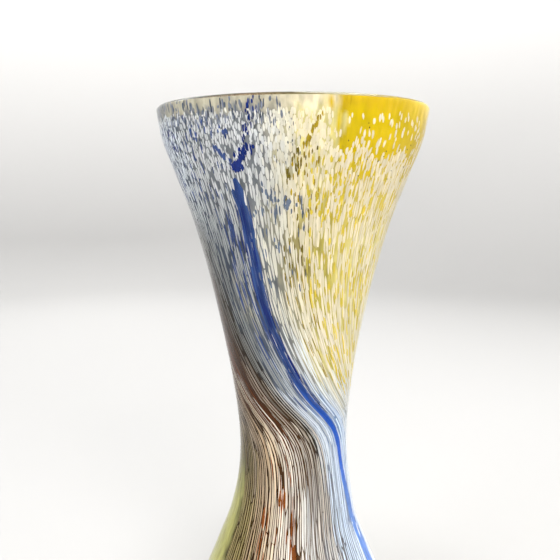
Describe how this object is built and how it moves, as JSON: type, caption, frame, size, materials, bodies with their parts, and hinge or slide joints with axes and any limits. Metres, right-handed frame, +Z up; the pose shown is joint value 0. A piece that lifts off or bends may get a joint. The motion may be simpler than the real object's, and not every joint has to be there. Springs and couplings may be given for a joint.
{
  "type": "hand blown art glass vase",
  "caption": "Hand-blown cased glass vase with a flared mouth, a twisted waist and a rounded bulb on a flat foot, for cut flowers.",
  "frame": {"origin": "centre of the flat foot, on the surface that the vase stands on", "axes": "+Z up the vase's axis, towards the mouth; -Y is the side that the picture shows"},
  "size_m": [0.1332, 0.1332, 0.28],
  "materials": {
    "clear_casing_glass": "fire-polished, clear, faintly warm grey",
    "clear_lining_glass": "smooth, clear",
    "white_enamel": "opaque cream-white enamel glass, glossy under the casing",
    "cobalt_glass": "dense cobalt blue glass",
    "smoke_grey_glass": "smoky grey-blue frit",
    "olive_glass": "olive green frit",
    "yellow_glass": "opaque canary yellow frit",
    "lime_glass": "pale yellow-green frit",
    "amber_glass": "amber-brown frit",
    "umber_glass": "dark brown frit",
    "slate_blue_glass": "slate blue frit"
  },
  "bodies": {
    "root": {"outer_casing": "clear_casing_glass", "inner_lining": "clear_lining_glass", "white_enamel_chips": "white_enamel", "cobalt_ribbon": "cobalt_glass", "smoke_grey_frit": "smoke_grey_glass", "olive_frit": "olive_glass", "yellow_frit": "yellow_glass", "lime_frit": "lime_glass", "amber_frit": "amber_glass", "umber_frit": "umber_glass", "slate_blue_frit": "slate_blue_glass"}
  },
  "joints": []
}
